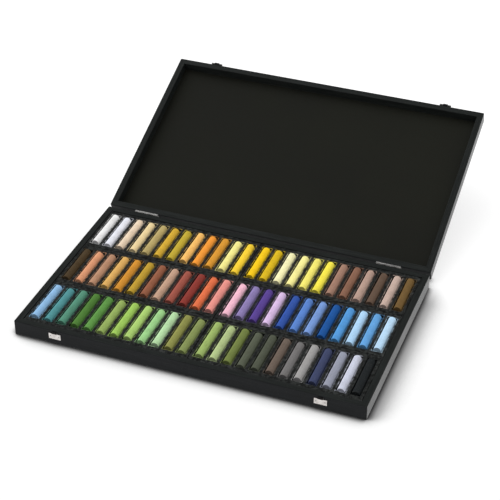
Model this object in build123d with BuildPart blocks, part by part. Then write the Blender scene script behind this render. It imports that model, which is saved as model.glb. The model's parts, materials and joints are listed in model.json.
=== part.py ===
from build123d import *
from math import cos, radians, sin, tan
import os

# A folding wooden case of round soft pastels, open as it is used.
#
# X runs along the front, +Y towards the hinges, +Z up, in millimetres. The origin is the centre of
# the case's underside. The lid is drawn shut on the base, then swung open about its hinge axis.

os.makedirs("parts", exist_ok=True)

# ---- pastels ----
stick_diameter = 10.0
stick_length = 64.0
stick_chamfer = 0.6  # broken edge of a stick's ends
sticks_per_tray = 12
stick_pitch = 17.1
stick_proud = 2.4  # how far the sticks stand above the rim of the base
stick_seat_gap = 0.3  # under a stick
stick_forward = 1.2  # how far the sticks lie in front of their pockets' middle

# ---- foam trays ----
tray_columns = ("left", "right")
tray_rows = ("front", "middle", "back")
pocket_side_room = 1.6  # pocket wider than the stick
pocket_end_room = 3.6  # pocket longer than the stick
pocket_corner = 1.2
tray_end_border = 4.6  # foam beside the outermost pockets
tray_side_border = 7.25  # foam before and behind the pockets
tray_corner = 1.5
tray_gap = 0.4  # round each tray
tray_seat_gap = 0.2  # under each tray
foam_below_rim = 0.7

# ---- wooden shells ----
wall = 8.0
base_height = 19.0
lid_height = 15.4
lid_gap = 0.1  # between the two rims when shut
panel_thickness = 3.0
rabbet = 4.0  # how far a panel is let into the walls
case_corner = 1.5  # rounding of the four upright corners
case_edge = 0.8  # rounding of the outer long edges
rim_edge = 0.3  # rounding of the rims' inner edges

# ---- hinges ----
lid_open_angle = 159.0
hinge_from_side = 53.5  # centre of each hinge and latch from the case's side
hinge_length = 32.0
hinge_leaf = 0.8
hinge_leaf_height = 12.0
knuckle_count = 5  # of both leaves together, the outer ones on the base's leaf
knuckle_radius = 1.6
knuckle_gap = 0.2  # between knuckles, and between a knuckle and the wood
hinge_pin_radius = 0.7
hinge_pin_head = 0.25  # how far a pin stands out at each end
running_gap = 0.05  # radial play of a pin, a screw or a nail in its hole
stop_lug_width = 4.0
stop_lug_from = 3.5  # the lug's reach along the lid's leaf, from the hinge axis
stop_lug_to = 6.5
stop_gap = 0.05

# ---- hinge screws ----
screw_from_end = 5.0  # from the end of its leaf
screw_from_axis = 7.5
screw_length = 6.5
screw_shank_radius = 0.8
screw_head_radius = 1.6
screw_head_angle = 90.0
screw_slot_width = 0.45
screw_slot_depth = 0.35

# ---- latches ----
latch_width = 15.2
latch_plate_thickness = 0.7
latch_plate_height = 9.0
pivot_above_rim = 1.5
ear_radius = 1.1
ear_inner = 3.3  # from the latch's middle to an ear
lever_width = 6.0
lever_barrel_radius = 1.9
barrel_to_case = 0.3
barrel_to_plate = 0.2
lever_arm = 0.8
lever_arm_offset = 0.35  # from the pivot's plane to the arm's inner face
lever_length = 8.2
barb_depth = 0.8
barb_reach = 1.2
barb_gap = 0.25  # play between barb and nose when latched
lever_pin_radius = 0.5

# ---- catch plates ----
catch_below_rim = 4.0
catch_height = 8.0
catch_bevel = 0.4
catch_lip = 0.3  # thickness of the bevelled upper edge
nose_width = 6.4
nose_height = 2.7
nose_lip = 0.7

# ---- latch nails ----
nail_from_end = 2.2  # from the end of its plate
nail_length = 5.0
nail_shank_radius = 0.5
nail_head_radius = 0.95
nail_head_height = 0.4
catch_nail_drop = 4.0  # below the catch plate's top
latch_nail_rise = 6.5  # above the latch plate's lower edge

# ---- sizes that follow ----
pocket_width = stick_diameter + pocket_side_room
pocket_length = stick_length + pocket_end_room
tray_width = (sticks_per_tray - 1) * stick_pitch + pocket_width + 2 * tray_end_border
tray_depth = pocket_length + 2 * tray_side_border
inner_width = len(tray_columns) * (tray_width + tray_gap) + tray_gap
inner_depth = len(tray_rows) * (tray_depth + tray_gap) + tray_gap
case_width = inner_width + 2 * wall
case_depth = inner_depth + 2 * wall
front_y = -case_depth / 2
back_y = case_depth / 2
rim_z = base_height
lid_rim_z = rim_z + lid_gap
closed_height = lid_rim_z + lid_height

stick_z = rim_z + stick_proud - stick_diameter / 2
pocket_floor_z = stick_z - stick_diameter / 2 - stick_seat_gap
foam_top_z = rim_z - foam_below_rim
tray_bottom_z = panel_thickness + tray_seat_gap

hinge_x = case_width / 2 - hinge_from_side
hinge_out = knuckle_radius + knuckle_gap  # hinge axis behind the case
hinge_y = back_y + hinge_out
hinge_z = (rim_z + lid_rim_z) / 2
knuckle_pitch = hinge_length / knuckle_count
screw_from_centre = hinge_length / 2 - screw_from_end

pivot_out = lever_barrel_radius + barrel_to_case  # lever pivot in front of the case
pivot_y = front_y - pivot_out
pivot_z = lid_rim_z + pivot_above_rim
plate_bottom_z = pivot_z + lever_barrel_radius + barrel_to_plate
nail_from_centre = latch_width / 2 - nail_from_end
nose_out = pivot_out  # the nose ends on the pivot's plane
nose_bottom_z = pivot_z - (lever_length - 2 * barb_depth - lever_arm) - barb_gap
barb_from = pivot_z - nose_bottom_z + barb_gap

sides = {"left": -hinge_x, "right": hinge_x}
lid_open = (
    Location((0, hinge_y, hinge_z), (-lid_open_angle, 0, 0)) * Location((0, -hinge_y, -hinge_z))
)


def finish(piece, name, on_lid=False):
    """Labels a finished piece and writes it; a piece of the lid swings open with it."""
    if on_lid:
        piece.part = piece.part.moved(lid_open)
    piece.part.label = name
    export_step(piece.part, f"parts/{name}.step")


# ---- where the fasteners go: planes on the outside of the metal, Z pointing out ----


def hinge_screw_places(z):
    """The four screws of one shell's hinge leaves."""
    return [
        Plane(origin=(x + dx, back_y + hinge_leaf, z), x_dir=(1, 0, 0), z_dir=(0, 1, 0))
        for x in sides.values()
        for dx in (-screw_from_centre, screw_from_centre)
    ]


def nail_places(z):
    """The four nails of one shell's latch or catch plates."""
    return [
        Plane(
            origin=(x + dx, front_y - latch_plate_thickness, z), x_dir=(1, 0, 0), z_dir=(0, -1, 0)
        )
        for x in sides.values()
        for dx in (-nail_from_centre, nail_from_centre)
    ]


def places_on(places, x, width):
    """Those of the places that lie on a leaf or plate of this width at x."""
    return [place for place in places if abs(place.origin.X - x) < width / 2]


base_screw_places = hinge_screw_places(hinge_z - screw_from_axis)
lid_screw_places = hinge_screw_places(hinge_z + screw_from_axis)
catch_nail_places = nail_places(rim_z - catch_below_rim - catch_nail_drop)
lid_nail_places = nail_places(plate_bottom_z + latch_nail_rise)


# ---- wooden shells ----


def mitred_walls(bottom_z, height, rim_up, prefix, screws, nails):
    """Four mitred walls with a rabbet for the panel on the side away from the rim."""
    panel_z = bottom_z if rim_up else bottom_z + height - panel_thickness
    with BuildPart() as ring:
        with BuildSketch(Plane.XY.offset(bottom_z)):
            RectangleRounded(case_width, case_depth, case_corner)
            Rectangle(inner_width, inner_depth, mode=Mode.SUBTRACT)
        extrude(amount=height)
        ends = ring.faces().sort_by(Axis.Z)
        fillet(ends[0].outer_wire().edges() + ends[-1].outer_wire().edges(), radius=case_edge)
        rim = ring.faces().sort_by(Axis.Z)[-1 if rim_up else 0]
        fillet(rim.inner_wires()[0].edges(), radius=rim_edge)
        with BuildSketch(Plane.XY.offset(panel_z)):
            Rectangle(inner_width + 2 * rabbet, inner_depth + 2 * rabbet)
        extrude(amount=panel_thickness, mode=Mode.SUBTRACT)
        with Locations(*screws):
            Hole(radius=screw_shank_radius + running_gap, depth=screw_length + running_gap)
        with Locations(*nails):
            Hole(radius=nail_shank_radius + running_gap, depth=nail_length + running_gap)

    outer = [(-1, -1), (1, -1), (1, 1), (-1, 1)]
    for i, side in enumerate(("front", "right", "back", "left")):
        (ax, ay), (bx, by) = outer[i], outer[(i + 1) % 4]
        with BuildPart() as board:
            add(ring.part)
            with BuildSketch(Plane.XY.offset(bottom_z)):
                with BuildLine():
                    Polyline(
                        (ax * case_width / 2, ay * case_depth / 2),
                        (bx * case_width / 2, by * case_depth / 2),
                        (bx * inner_width / 2, by * inner_depth / 2),
                        (ax * inner_width / 2, ay * inner_depth / 2),
                        close=True,
                    )
                make_face()
            extrude(amount=height, mode=Mode.INTERSECT)
        finish(board, f"{prefix}_wall_{side}", on_lid=not rim_up)


def panel(z, name, on_lid):
    """A thin board that fills the walls' rabbet."""
    with BuildPart() as board:
        with BuildSketch(Plane.XY.offset(z)):
            Rectangle(inner_width + 2 * rabbet, inner_depth + 2 * rabbet)
        extrude(amount=panel_thickness)
    finish(board, name, on_lid)


mitred_walls(0, base_height, True, "base", base_screw_places, catch_nail_places)
panel(0, "base_panel", on_lid=False)
mitred_walls(lid_rim_z, lid_height, False, "lid", lid_screw_places, lid_nail_places)
panel(closed_height - panel_thickness, "lid_panel", on_lid=True)


# ---- hinges ----


def hinge_leaf_piece(x, up, own_knuckles, screws, name):
    """One leaf of a butt hinge, folded flat on the back of its shell."""
    with BuildPart() as leaf:
        # The plate, cut back from the other leaf's knuckles.
        with BuildSketch(Plane.YZ.offset(x)):
            with Locations((back_y + hinge_leaf / 2, hinge_z + up * hinge_out)):
                Rectangle(
                    hinge_leaf,
                    hinge_leaf_height - hinge_out,
                    align=(Align.CENTER, Align.MIN if up > 0 else Align.MAX),
                )
        extrude(amount=hinge_length / 2, both=True)
        # The knuckles, each on its own tab.
        for k in own_knuckles:
            knuckle_x = x + (k - (knuckle_count - 1) / 2) * knuckle_pitch
            with BuildSketch(Plane.YZ.offset(knuckle_x)):
                with Locations((hinge_y, hinge_z)):
                    Circle(knuckle_radius)
                with Locations((back_y + hinge_leaf / 2, hinge_z)):
                    Rectangle(
                        hinge_leaf,
                        2 * knuckle_radius,
                        align=(Align.CENTER, Align.MIN if up > 0 else Align.MAX),
                    )
            extrude(amount=(knuckle_pitch - knuckle_gap) / 2, both=True)
        with BuildSketch(Plane.YZ.offset(x)):
            with Locations((hinge_y, hinge_z)):
                Circle(hinge_pin_radius + running_gap)
        extrude(amount=hinge_length, both=True, mode=Mode.SUBTRACT)
        # The lug that the lid's leaf comes to rest on, at the middle of the base's leaf.
        if up < 0:
            along = (sin(radians(lid_open_angle)), cos(radians(lid_open_angle)))
            out = (-along[1], along[0])
            face = hinge_out - hinge_leaf - stop_gap
            near, far = [
                (
                    hinge_y + face * out[0] + reach * along[0],
                    hinge_z + face * out[1] + reach * along[1],
                )
                for reach in (stop_lug_from, stop_lug_to)
            ]
            with BuildSketch(Plane.YZ.offset(x)):
                with BuildLine():
                    Polyline((back_y, near[1]), near, far, (back_y, far[1]), close=True)
                make_face()
            extrude(amount=stop_lug_width / 2, both=True)
        with Locations(*screws):
            CounterSinkHole(
                radius=screw_shank_radius + running_gap,
                counter_sink_radius=screw_head_radius + running_gap,
                counter_sink_angle=screw_head_angle,
            )
    finish(leaf, name, on_lid=up > 0)


for side, x in sides.items():
    base_screws = places_on(base_screw_places, x, hinge_length)
    lid_screws = places_on(lid_screw_places, x, hinge_length)
    base_knuckles = range(0, knuckle_count, 2)
    lid_knuckles = range(1, knuckle_count, 2)
    hinge_leaf_piece(x, -1, base_knuckles, base_screws, f"hinge_leaf_base_{side}")
    hinge_leaf_piece(x, 1, lid_knuckles, lid_screws, f"hinge_leaf_lid_{side}")

    with BuildPart() as hinge_pin:
        with BuildSketch(Plane.YZ.offset(x)):
            with Locations((hinge_y, hinge_z)):
                Circle(hinge_pin_radius)
        extrude(amount=hinge_length / 2 + hinge_pin_head, both=True)
        chamfer(hinge_pin.edges().filter_by(GeomType.CIRCLE), length=hinge_pin_head)
    finish(hinge_pin, f"hinge_pin_{side}")


# ---- screws and nails, one pattern piece each, set at every place ----

screw_head_depth = (screw_head_radius - screw_shank_radius) / tan(radians(screw_head_angle / 2))
nail_crown_radius = (nail_head_radius**2 + nail_head_height**2) / (2 * nail_head_height)

with BuildPart() as screw:
    with BuildSketch(Plane.XZ):
        with BuildLine():
            Polyline(
                (0, 0),
                (screw_head_radius, 0),
                (screw_shank_radius, -screw_head_depth),
                (screw_shank_radius, -screw_length + screw_shank_radius),
                (0, -screw_length),
                close=True,
            )
        make_face()
    revolve(axis=Axis.Z)
    with BuildSketch(Plane.XY):
        Rectangle(2 * screw_head_radius, screw_slot_width)
    extrude(amount=-screw_slot_depth, mode=Mode.SUBTRACT)

with BuildPart() as nail:
    with BuildSketch(Plane.XZ):
        with BuildLine():
            crown = (0, nail_head_height)
            head_edge = (nail_head_radius, 0)
            RadiusArc(crown, head_edge, nail_crown_radius)
            Polyline(
                head_edge,
                (nail_shank_radius, 0),
                (nail_shank_radius, -nail_length + nail_shank_radius),
                (0, -nail_length),
                crown,
            )
        make_face()
    revolve(axis=Axis.Z)


def fastener_set(pattern, places, name, on_lid):
    """The same fastener at each of several places."""
    with BuildPart() as group:
        with Locations(*places):
            add(pattern.part)
    finish(group, name, on_lid)


fastener_set(screw, base_screw_places, "hinge_screws_base", on_lid=False)
fastener_set(screw, lid_screw_places, "hinge_screws_lid", on_lid=True)
fastener_set(nail, catch_nail_places, "catch_nails", on_lid=False)
fastener_set(nail, lid_nail_places, "latch_nails", on_lid=True)


# ---- latches ----


def catch_plate(x, nails, name):
    """Plate on the base's front, with a nose on its upper edge for the barb."""
    top = rim_z - catch_below_rim
    face_y = front_y - latch_plate_thickness
    with BuildPart() as plate:
        with BuildSketch(Plane.YZ.offset(x)):
            with BuildLine():
                Polyline(
                    (front_y, top - catch_height),
                    (face_y, top - catch_height),
                    (face_y, top - catch_bevel),
                    (front_y - catch_lip, top),
                    (front_y, top),
                    close=True,
                )
            make_face()
        extrude(amount=latch_width / 2, both=True)
        with BuildSketch(Plane.YZ.offset(x)):
            with BuildLine():
                Polyline(
                    (front_y, nose_bottom_z),
                    (front_y - nose_out, nose_bottom_z),
                    (front_y - nose_out, nose_bottom_z + nose_lip),
                    (face_y, nose_bottom_z + nose_height),
                    (front_y, nose_bottom_z + nose_height),
                    close=True,
                )
            make_face()
        extrude(amount=nose_width / 2, both=True)
        with Locations(*nails):
            Hole(radius=nail_shank_radius + running_gap, depth=latch_plate_thickness)
    finish(plate, name)


def latch_plate(x, nails, name):
    """Plate on the lid's front, with an ear at each end that holds the lever's pin."""
    with BuildPart() as plate:
        with BuildSketch(Plane.YZ.offset(x)):
            with Locations((front_y - latch_plate_thickness / 2, plate_bottom_z)):
                Rectangle(
                    latch_plate_thickness, latch_plate_height, align=(Align.CENTER, Align.MIN)
                )
        extrude(amount=latch_width / 2, both=True)
        ear_width = latch_width / 2 - ear_inner
        for side_x in (x - latch_width / 2, x + ear_inner):
            with BuildSketch(Plane.YZ.offset(side_x)):
                with Locations((pivot_y, pivot_z)):
                    Circle(ear_radius)
                with Locations((front_y - latch_plate_thickness / 2, plate_bottom_z)):
                    Rectangle(
                        latch_plate_thickness, ear_radius, align=(Align.CENTER, Align.MIN)
                    )
                make_hull()
            extrude(amount=ear_width)
        with BuildSketch(Plane.YZ.offset(x)):
            with Locations((pivot_y, pivot_z)):
                Circle(lever_pin_radius + running_gap)
        extrude(amount=latch_width, both=True, mode=Mode.SUBTRACT)
        with Locations(*nails):
            Hole(radius=nail_shank_radius + running_gap, depth=latch_plate_thickness)
    finish(plate, name, on_lid=True)


def lever(x, name):
    """Lever folded back over the lid's plate; its own X runs from the pivot to the tip."""
    folded = Plane(origin=(x, pivot_y, pivot_z), x_dir=(0, 0, 1), z_dir=(1, 0, 0))
    with BuildPart() as piece:
        with BuildSketch(folded):
            with Locations((0, -lever_arm_offset)):
                Rectangle(lever_length, lever_arm, align=(Align.MIN, Align.MAX))
            with Locations((barb_from, -lever_arm_offset)):
                Rectangle(
                    barb_depth, lever_arm_offset + barb_reach, align=(Align.MIN, Align.MIN)
                )
            Circle(lever_barrel_radius)
            Circle(lever_pin_radius + running_gap, mode=Mode.SUBTRACT)
        extrude(amount=lever_width / 2, both=True)
    finish(piece, name, on_lid=True)


for side, x in sides.items():
    catch_nails = places_on(catch_nail_places, x, latch_width)
    lid_nails = places_on(lid_nail_places, x, latch_width)
    catch_plate(x, catch_nails, f"catch_plate_{side}")
    latch_plate(x, lid_nails, f"latch_plate_{side}")
    lever(x, f"latch_lever_{side}")

    with BuildPart() as lever_pin:
        with BuildSketch(Plane.YZ.offset(x)):
            with Locations((pivot_y, pivot_z)):
                Circle(lever_pin_radius)
        extrude(amount=latch_width / 2, both=True)
    finish(lever_pin, f"latch_pin_{side}", on_lid=True)


# ---- foam trays and pastels ----


def tray_set(x, y, place):
    """A slotted foam tray on its foam floor, and the twelve sticks in it."""
    with BuildPart() as floor:
        with BuildSketch(Plane.XY.offset(tray_bottom_z)):
            with Locations((x, y)):
                RectangleRounded(tray_width, tray_depth, tray_corner)
        extrude(amount=pocket_floor_z - tray_bottom_z)
    finish(floor, f"foam_floor_{place}")

    with BuildPart() as tray:
        with BuildSketch(Plane.XY.offset(pocket_floor_z)):
            with Locations((x, y)):
                RectangleRounded(tray_width, tray_depth, tray_corner)
                with GridLocations(stick_pitch, 0, sticks_per_tray, 1):
                    RectangleRounded(
                        pocket_width, pocket_length, pocket_corner, mode=Mode.SUBTRACT
                    )
        extrude(amount=foam_top_z - pocket_floor_z)
    finish(tray, f"foam_tray_{place}")

    stick_front_y = y - stick_forward - stick_length / 2
    with BuildPart() as sticks:
        with BuildSketch(Plane.XZ.offset(-stick_front_y)):
            with Locations((x, stick_z)):
                with GridLocations(stick_pitch, 0, sticks_per_tray, 1):
                    Circle(stick_diameter / 2)
        extrude(amount=-stick_length)
        chamfer(sticks.edges().filter_by(GeomType.CIRCLE), length=stick_chamfer)
    finish(sticks, f"pastels_{place}")


for column, column_name in enumerate(tray_columns):
    for row, row_name in enumerate(tray_rows):
        tray_set(
            (column - (len(tray_columns) - 1) / 2) * (tray_width + tray_gap),
            (row - (len(tray_rows) - 1) / 2) * (tray_depth + tray_gap),
            f"{row_name}_{column_name}",
        )

print(f"case {case_width:.1f} x {case_depth:.1f} x {closed_height:.1f} mm shut")
print(f"hinge axis y {hinge_y:.2f} z {hinge_z:.2f}, at x {hinge_x:.2f} and {-hinge_x:.2f}")
print(f"lever pivot y {pivot_y:.2f} z {pivot_z:.2f} with the lid shut")
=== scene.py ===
"""The looks of a folding wooden case of round soft pastels, built round its packed CAD model."""

import json
import math

import bmesh
import bpy
from bpy.props import FloatProperty, FloatVectorProperty, IntProperty, PointerProperty
from mathutils import Euler, Matrix, Vector


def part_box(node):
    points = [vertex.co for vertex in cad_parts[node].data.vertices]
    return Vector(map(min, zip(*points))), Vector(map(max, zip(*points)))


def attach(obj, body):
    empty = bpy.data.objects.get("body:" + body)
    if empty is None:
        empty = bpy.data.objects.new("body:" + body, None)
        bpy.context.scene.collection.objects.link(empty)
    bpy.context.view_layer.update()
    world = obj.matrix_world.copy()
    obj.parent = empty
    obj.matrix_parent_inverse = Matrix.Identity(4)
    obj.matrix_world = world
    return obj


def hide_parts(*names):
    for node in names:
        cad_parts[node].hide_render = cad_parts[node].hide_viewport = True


bl_info = {
    "name": "Pastel Case",
    "version": (1, 0, 0),
    "blender": (4, 5, 0),
    "location": "3D View > Sidebar > Pastel Case",
    "description": "Finishes a folding wooden case of round soft pastels",
    "category": "Object",
}

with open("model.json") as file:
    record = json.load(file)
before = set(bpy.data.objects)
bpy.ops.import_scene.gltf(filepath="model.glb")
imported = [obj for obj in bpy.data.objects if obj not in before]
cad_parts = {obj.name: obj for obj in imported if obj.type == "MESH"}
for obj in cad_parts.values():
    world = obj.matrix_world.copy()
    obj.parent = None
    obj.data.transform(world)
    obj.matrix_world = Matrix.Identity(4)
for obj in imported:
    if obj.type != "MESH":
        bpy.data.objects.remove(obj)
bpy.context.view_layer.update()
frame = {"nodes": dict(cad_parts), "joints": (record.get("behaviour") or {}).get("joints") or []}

MM = 0.001
SIDES = ("left", "right")
ROWS = ("front", "middle", "back")
PLACES = tuple(f"{row}_{side}" for row in ROWS for side in SIDES)
STICKS_PER_TRAY = 12


def screen(red, green, blue):
    """A colour given as 0 to 255 screen values, as the linear one that shaders take."""
    values = (v / 255 for v in (red, green, blue))
    return tuple(v / 12.92 if v <= 0.04045 else ((v + 0.055) / 1.055) ** 2.4 for v in values)


# ---- pigments: pure colours, and for each stick how far it is let down with white (+) or black (-)

PIGMENTS = {
    "chalk": (244, 244, 244),
    "cool_chalk": (230, 234, 250),
    "flesh": (240, 220, 194),
    "naples": (240, 218, 164),
    "khaki": (196, 178, 118),
    "ochre": (222, 184, 62),
    "olive_yellow": (204, 182, 62),
    "apricot": (252, 204, 116),
    "orange": (246, 166, 62),
    "raw_ochre": (226, 164, 58),
    "gamboge": (252, 214, 30),
    "deep_gamboge": (226, 194, 34),
    "lemon": (248, 236, 84),
    "rosewood": (172, 134, 116),
    "sienna": (146, 106, 86),
    "umber": (106, 86, 72),
    "raw_umber": (82, 66, 44),
    "bronze": (120, 94, 54),
    "salmon": (228, 166, 126),
    "clay": (196, 152, 122),
    "amber": (220, 156, 56),
    "russet": (160, 102, 76),
    "brick": (172, 94, 80),
    "oxide_red": (152, 64, 56),
    "vermilion": (232, 124, 80),
    "rose": (238, 160, 150),
    "pink": (250, 196, 216),
    "violet": (98, 74, 158),
    "lilac": (226, 200, 236),
    "ultramarine": (56, 92, 176),
    "cobalt": (98, 142, 214),
    "cerulean": (32, 92, 166),
    "sky": (92, 164, 224),
    "ice": (176, 216, 246),
    "turquoise": (90, 160, 164),
    "viridian": (94, 156, 132),
    "sap": (88, 138, 62),
    "grass": (104, 162, 80),
    "leaf": (162, 188, 106),
    "lime": (172, 212, 104),
    "mint": (156, 214, 136),
    "olive": (152, 154, 84),
    "moss": (132, 148, 78),
    "slate_green": (94, 100, 84),
    "stone": (116, 102, 92),
    "steel": (124, 122, 122),
    "indigo": (68, 76, 110),
    "carbon": (34, 38, 40),
}
LET_DOWN = (250, 250, 248)
DARKENED = (26, 26, 28)

STICKS = {
    "back_left": (
        ("chalk", 0.0), ("cool_chalk", 0.45), ("flesh", 0.1), ("naples", 0.1),
        ("khaki", 0.0), ("ochre", 0.0), ("olive_yellow", 0.0), ("apricot", 0.0),
        ("orange", 0.0), ("raw_ochre", 0.0), ("lemon", 0.45), ("gamboge", 0.15),
    ),
    "back_right": (
        ("gamboge", 0.0), ("deep_gamboge", 0.0), ("lemon", 0.7), ("lemon", 0.5),
        ("lemon", 0.25), ("lemon", 0.0), ("rosewood", 0.0), ("sienna", 0.0),
        ("rosewood", 0.25), ("umber", 0.0), ("rosewood", 0.4), ("bronze", 0.0),
    ),
    "middle_left": (
        ("raw_umber", 0.0), ("salmon", 0.0), ("clay", 0.0), ("apricot", -0.1),
        ("amber", 0.0), ("ochre", -0.1), ("russet", 0.0), ("clay", 0.2),
        ("brick", 0.0), ("oxide_red", 0.0), ("vermilion", 0.0), ("rose", 0.0),
    ),
    "middle_right": (
        ("pink", 0.1), ("violet", 0.35), ("violet", 0.0), ("lilac", 0.0),
        ("ultramarine", 0.0), ("cobalt", 0.0), ("cobalt", 0.2), ("cerulean", 0.0),
        ("sky", 0.0), ("ice", 0.1), ("sky", 0.1), ("ice", 0.25),
    ),
    "front_left": (
        ("sky", 0.4), ("turquoise", 0.0), ("viridian", 0.0), ("sap", 0.0),
        ("grass", 0.0), ("leaf", 0.0), ("lime", 0.0), ("lime", 0.15),
        ("mint", 0.15), ("mint", 0.4), ("olive", 0.0), ("moss", 0.1),
    ),
    "front_right": (
        ("leaf", 0.05), ("leaf", 0.3), ("moss", -0.08), ("slate_green", 0.0),
        ("slate_green", -0.1), ("stone", 0.0), ("steel", 0.0), ("steel", 0.36),
        ("indigo", 0.0), ("indigo", 0.5), ("cool_chalk", -0.1), ("carbon", 0.0),
    ),
}


def pigment_colour(pigment, tint):
    """The linear colour of a pigment let down with white, or darkened where tint is negative."""
    other = LET_DOWN if tint > 0 else DARKENED
    share = abs(tint)
    return screen(*(a + (b - a) * share for a, b in zip(PIGMENTS[pigment], other)))


# ---- sizes read from the frame

STICK_BOX = {place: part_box(f"pastels_{place}") for place in PLACES}
TRAY_BOX = {place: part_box(f"foam_tray_{place}") for place in PLACES}
FLOOR_BOX = {place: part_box(f"foam_floor_{place}") for place in PLACES}
LID_HINGE = next(joint for joint in frame["joints"] if joint["child"] == "lid")
HINGE_POINT = Vector(LID_HINGE["pos_m"])
LID_SWING = math.radians(LID_HINGE["range_deg"][0])

ROW_SIZE = STICK_BOX["front_left"][1] - STICK_BOX["front_left"][0]
STICK_DIAMETER = ROW_SIZE.z
STICK_LENGTH = ROW_SIZE.y
STICK_PITCH = (ROW_SIZE.x - STICK_DIAMETER) / (STICKS_PER_TRAY - 1)
CASE_HALF = Vector((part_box("base_wall_right")[1].x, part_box("base_wall_back")[1].y, 0))


# ---- settings


def a_length(name, description, millimetres, least=0.0):
    """A length that the user can set, with its default in millimetres."""
    default = millimetres * MM
    return FloatProperty(name=name, description=description, unit="LENGTH", min=least, default=default)


def an_amount(name, description, default):
    """A plain number from 0 up."""
    return FloatProperty(name=name, description=description, min=0, default=default)


def a_share(name, description, default):
    """A number from 0 to 1."""
    values = {"subtype": "FACTOR", "min": 0, "max": 1, "default": default}
    return FloatProperty(name=name, description=description, **values)


def an_angle(name, description, degrees, **limits):
    """An angle, with its default in degrees."""
    default = math.radians(degrees)
    return FloatProperty(name=name, description=description, subtype="ANGLE", default=default, **limits)


def a_colour(name, description, *values):
    """A colour, with its default as screen values."""
    fixed = {"subtype": "COLOR", "min": 0, "max": 1, "default": screen(*values)}
    return FloatVectorProperty(name=name, description=description, **fixed)


class WoodSettings(bpy.types.PropertyGroup):
    """The lacquered wooden shells"""

    lacquer: a_colour("Lacquer", "Colour of the black lacquer", 26, 28, 30)
    rim: a_colour("Rim", "Colour of the rims and the inner faces, which have no varnish", 36, 39, 38)
    # This edge colour lightens the lacquer's edges: partly lacquer rubbed by handling, partly a painted
    # highlight where edges catch the light.
    rubbed_and_lit: a_colour("Rubbed and lit edge", "Colour of the lacquer where handling has rubbed an edge", 70, 70, 72)
    lining: a_colour("Lining", "Colour of the matt lining of the lid", 21, 22, 16)
    seam: a_length("Seam", "Width of the hairline at a mitre", 0.25)
    wear_width: a_length("Wear width", "How far the rubbing reaches from an edge", 0.7)


class FoamSettings(bpy.types.PropertyGroup):
    """The slotted foam trays"""

    colour: a_colour("Foam", "Colour of the clean foam", 50, 52, 51)
    pocket_side_room: a_length("Side room", "How much wider a pocket is than its stick", 1.6)
    pocket_end_room: a_length("End room", "How much longer a pocket is than its stick", 3.6)
    lip: a_length("Lip", "Rounding of the foam's edges and of its pockets' corners", 0.7)
    grid: a_length("Grid", "Distance between the lines of the foam's cage", 2.6, least=MM)
    unevenness: a_length("Unevenness", "How far the foam's skin strays from a flat cut", 0.35)
    dust_reach: a_length("Dust reach", "How far from a pocket the powder lies", 2.2)
    dust: a_share("Dust", "Share of the foam beside a stick that its pigment covers", 0.42)
    lip_dust: a_share("Lip dust", "How thickly powder covers the lip of a pocket", 0.75)


class PastelSettings(bpy.types.PropertyGroup):
    """The round sticks"""

    edge: a_length("Edge", "Rounding of a stick's ends", 0.7)
    dome: a_length("Dome", "How far the middle of an end stands out", 0.2)
    slide: a_length("Slide", "How far a stick lies from its place towards the back of its pocket", 1.3)
    sway: a_length("Sway", "How far a stick lies from its place across the pocket", 0.25)
    turn: an_angle("Turn", "How far a stick lies out of line with its pocket", 0.45, min=0)
    unevenness: a_length("Unevenness", "Depth of the hollows in a stick's skin", 0.22)
    seed: IntProperty(
        name="Seed",
        description="Seed of every chance difference between the sticks",
        default=7,
    )


class StageSettings(bpy.types.PropertyGroup):
    """Camera, floor and light"""

    azimuth: an_angle("Azimuth", "How far the camera stands to the right of the front", 20.656)
    elevation: an_angle("Elevation", "How steeply the camera looks down", 34.963)
    roll: an_angle("Roll", "How far the camera is turned about its own axis", 0.084)
    place: FloatVectorProperty(
        name="Place",
        description="Where the camera stands",
        subtype="XYZ",
        unit="LENGTH",
        default=(0.5336, -1.3346, 1.0936),
    )
    lens: FloatProperty(
        name="Lens",
        description="Focal length in millimetres on a sensor 36 mm wide",
        min=1,
        default=107.17,
    )
    floor_white: a_share("Floor", "Share of the light that the floor gives back", 0.8)
    floor_lit: an_amount("Floor lit", "Share of the floor's light that the camera and reflections see", 0.45)
    floor_glow: an_amount("Floor glow", "What brings that floor up to the background's white", 0.56)
    # These two set how far the shadows painted into the floor's glow reach: a wide band, and a dark line
    # along the case's foot.
    floor_painted_shadow: a_length("Floor dim", "How far from the case its floor dims", 60)
    floor_painted_contact_shadow: a_length("Floor contact", "How far the dark line along the case's foot reaches", 11)
    low_sky: an_amount("Low sky", "Strength of the light from the sides", 0.45)
    high_sky: an_amount("High sky", "Strength of the light from above", 0.92)
    ceiling: a_share("Ceiling", "How bright the room above the background shows in reflections", 0.1)
    key: an_amount("Key", "Strength of the soft light from above on the left", 1.1)
    key_size: an_angle("Key size", "Angle that the soft light takes up", 60, min=0)
    key_from: FloatVectorProperty(
        name="Key from",
        description="Direction that the soft light comes from",
        subtype="DIRECTION",
        default=(-0.62, 0.05, 0.8),
    )


# ---- wiring up node trees


def add_node(tree, kind, inputs=None, **settings):
    """Adds a node; an input given as a socket is linked, and any other is set."""
    node = tree.nodes.new(kind)
    for key, value in settings.items():
        setattr(node, key, value)
    for key, value in (inputs or {}).items():
        socket = node.inputs[key]
        if isinstance(value, bpy.types.NodeSocket):
            tree.links.new(value, socket)
        else:
            socket.default_value = value
    return node


def calculate(tree, operation, first, second=0.0, third=0.0, clamp=False):
    """A Math node's value."""
    values = {0: first, 1: second, 2: third}
    return add_node(tree, "ShaderNodeMath", values, operation=operation, use_clamp=clamp).outputs[0]


def times(tree, first, second, clamp=False):
    """Two values' product."""
    return calculate(tree, "MULTIPLY", first, second, clamp=clamp)


def vector_of(tree, operation, first, second=(0, 0, 0)):
    """A Vector Math node's vector."""
    values = {0: first, 1: second}
    return add_node(tree, "ShaderNodeVectorMath", values, operation=operation).outputs[0]


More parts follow.
